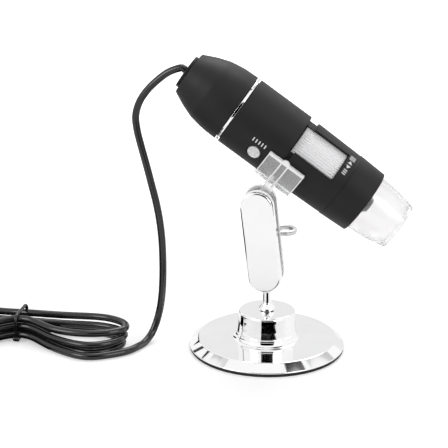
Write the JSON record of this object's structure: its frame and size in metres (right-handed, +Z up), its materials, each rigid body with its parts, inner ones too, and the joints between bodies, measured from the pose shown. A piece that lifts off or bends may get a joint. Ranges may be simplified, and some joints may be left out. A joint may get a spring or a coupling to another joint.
{
  "type": "usb digital microscope",
  "caption": "USB digital microscope held in a clear ring clip on a ball-jointed chrome arm and round weighted stand, with its cord tied in a hank",
  "frame": {"origin": "centre of the stand's underside, on the floor", "axes": "+Z up; +X the way the microscope's nose points; the microscope's axis and the arm lie in the XZ plane"},
  "size_m": [0.2336, 0.0941, 0.1329],
  "materials": {
    "chrome": "mirror chrome plating",
    "steel": "plain plated steel",
    "foot_rubber": "matte black foam rubber",
    "body_plastic": "soft-touch black plastic",
    "inner_plastic": "matte black plastic",
    "silver_plastic": "silver coated plastic, ribbed",
    "button_plastic": "light grey textured plastic",
    "clear_plastic": "clear moulded plastic",
    "lens_glass": "coated lens glass",
    "board": "green solder mask",
    "board_white": "white solder mask",
    "led_lens": "pale yellow light chip",
    "chip_black": "black moulded chip",
    "connector_plastic": "off-white plastic",
    "cord_jacket": "glossy black soft jacket"
  },
  "bodies": {
    "stand": {"base_pad": "foot_rubber", "base": "chrome", "stud_washer": "steel", "stud_nut": "steel", "ball_post": "chrome", "cord_run": "cord_jacket", "cord_hank": "cord_jacket", "cord_tie": "cord_jacket", "usb_overmould": "cord_jacket", "usb_shell": "steel", "usb_tongue": "connector_plastic"},
    "lower_ball": {"lower_ball": "chrome"},
    "arm": {"arm_front": "chrome", "arm_rear": "chrome", "clamp_nut": "steel"},
    "clamp_screw": {"clamp_screw": "chrome"},
    "clip_ball": {"clip_ball": "clear_plastic"},
    "clip": {"clip": "clear_plastic"},
    "microscope": {"rear_housing": "body_plastic", "cable_grommet": "body_plastic", "trim_ring": "chrome", "body_sleeve": "body_plastic", "snap_switch": "chip_black", "button_board": "board", "front_shell": "body_plastic", "focus_tube": "inner_plastic", "led_board": "board_white", "led_1": "led_lens", "led_2": "led_lens", "led_3": "led_lens", "led_4": "led_lens", "led_5": "led_lens", "led_6": "led_lens", "led_7": "led_lens", "led_8": "led_lens", "nose_cap": "clear_plastic", "main_board": "board", "board_screw_1": "steel", "board_screw_2": "steel", "image_sensor": "chip_black", "cable_header": "connector_plastic", "inner_lead": "cord_jacket"},
    "focus_wheel": {"focus_wheel": "silver_plastic"},
    "lens_carrier": {"lens_carrier": "inner_plastic", "lens_barrel": "inner_plastic", "front_lens": "lens_glass"},
    "snap_button": {"snap_button": "button_plastic"}
  },
  "joints": [
    {"name": "base_swivel", "type": "hinge", "parent": "stand", "child": "lower_ball", "pos_m": [0, 0, 0.0323], "axis": [0, 0, 1], "range_deg": [-90, 90], "deforming": ["cord_run"]},
    {"name": "arm_tilt", "type": "hinge", "parent": "lower_ball", "child": "arm", "pos_m": [0, 0, 0.0323], "axis": [0, 1, 0], "range_deg": [-40, 30], "deforming": ["cord_run"]},
    {"name": "clip_tilt", "type": "hinge", "parent": "arm", "child": "clip_ball", "pos_m": [-0.00439, 0, 0.0691], "axis": [0, 1, 0], "range_deg": [-40, 30], "deforming": ["cord_run"]},
    {"name": "clip_swivel", "type": "hinge", "parent": "clip_ball", "child": "clip", "pos_m": [-0.00439, 0, 0.0691], "axis": [0.5736, 0, 0.8192], "range_deg": [-90, 90], "deforming": ["cord_run"]},
    {"name": "microscope_roll", "type": "hinge", "parent": "clip", "child": "microscope", "pos_m": [-0.01356, 0, 0.1097], "axis": [0.8192, 0, -0.5736], "range_deg": [-180, 180], "deforming": ["cord_run"]},
    {"name": "focus_turn", "type": "hinge", "parent": "microscope", "child": "focus_wheel", "pos_m": [-0.01356, 0, 0.1097], "axis": [0.8192, 0, -0.5736], "range_deg": [-180, 180]},
    {"name": "lens_travel", "type": "slide", "parent": "microscope", "child": "lens_carrier", "axis": [0.8192, 0, -0.5736], "range_m": [-0.003, 0.003]},
    {"name": "snap_press", "type": "slide", "parent": "microscope", "child": "snap_button", "axis": [0.2541, 0.8965, 0.3629], "range_m": [0, 0.0008], "stiffness_N_per_m": 800, "springref_m": -0.0005},
    {"name": "clamp_turn", "type": "hinge", "parent": "arm", "child": "clamp_screw", "pos_m": [-0.00219, 0, 0.0507], "axis": [0, 1, 0], "range_deg": [-180, 180]}
  ],
  "couplings": [
    {"joint": "focus_turn", "follows": "lens_travel", "rad_per_m": 1047}
  ]
}
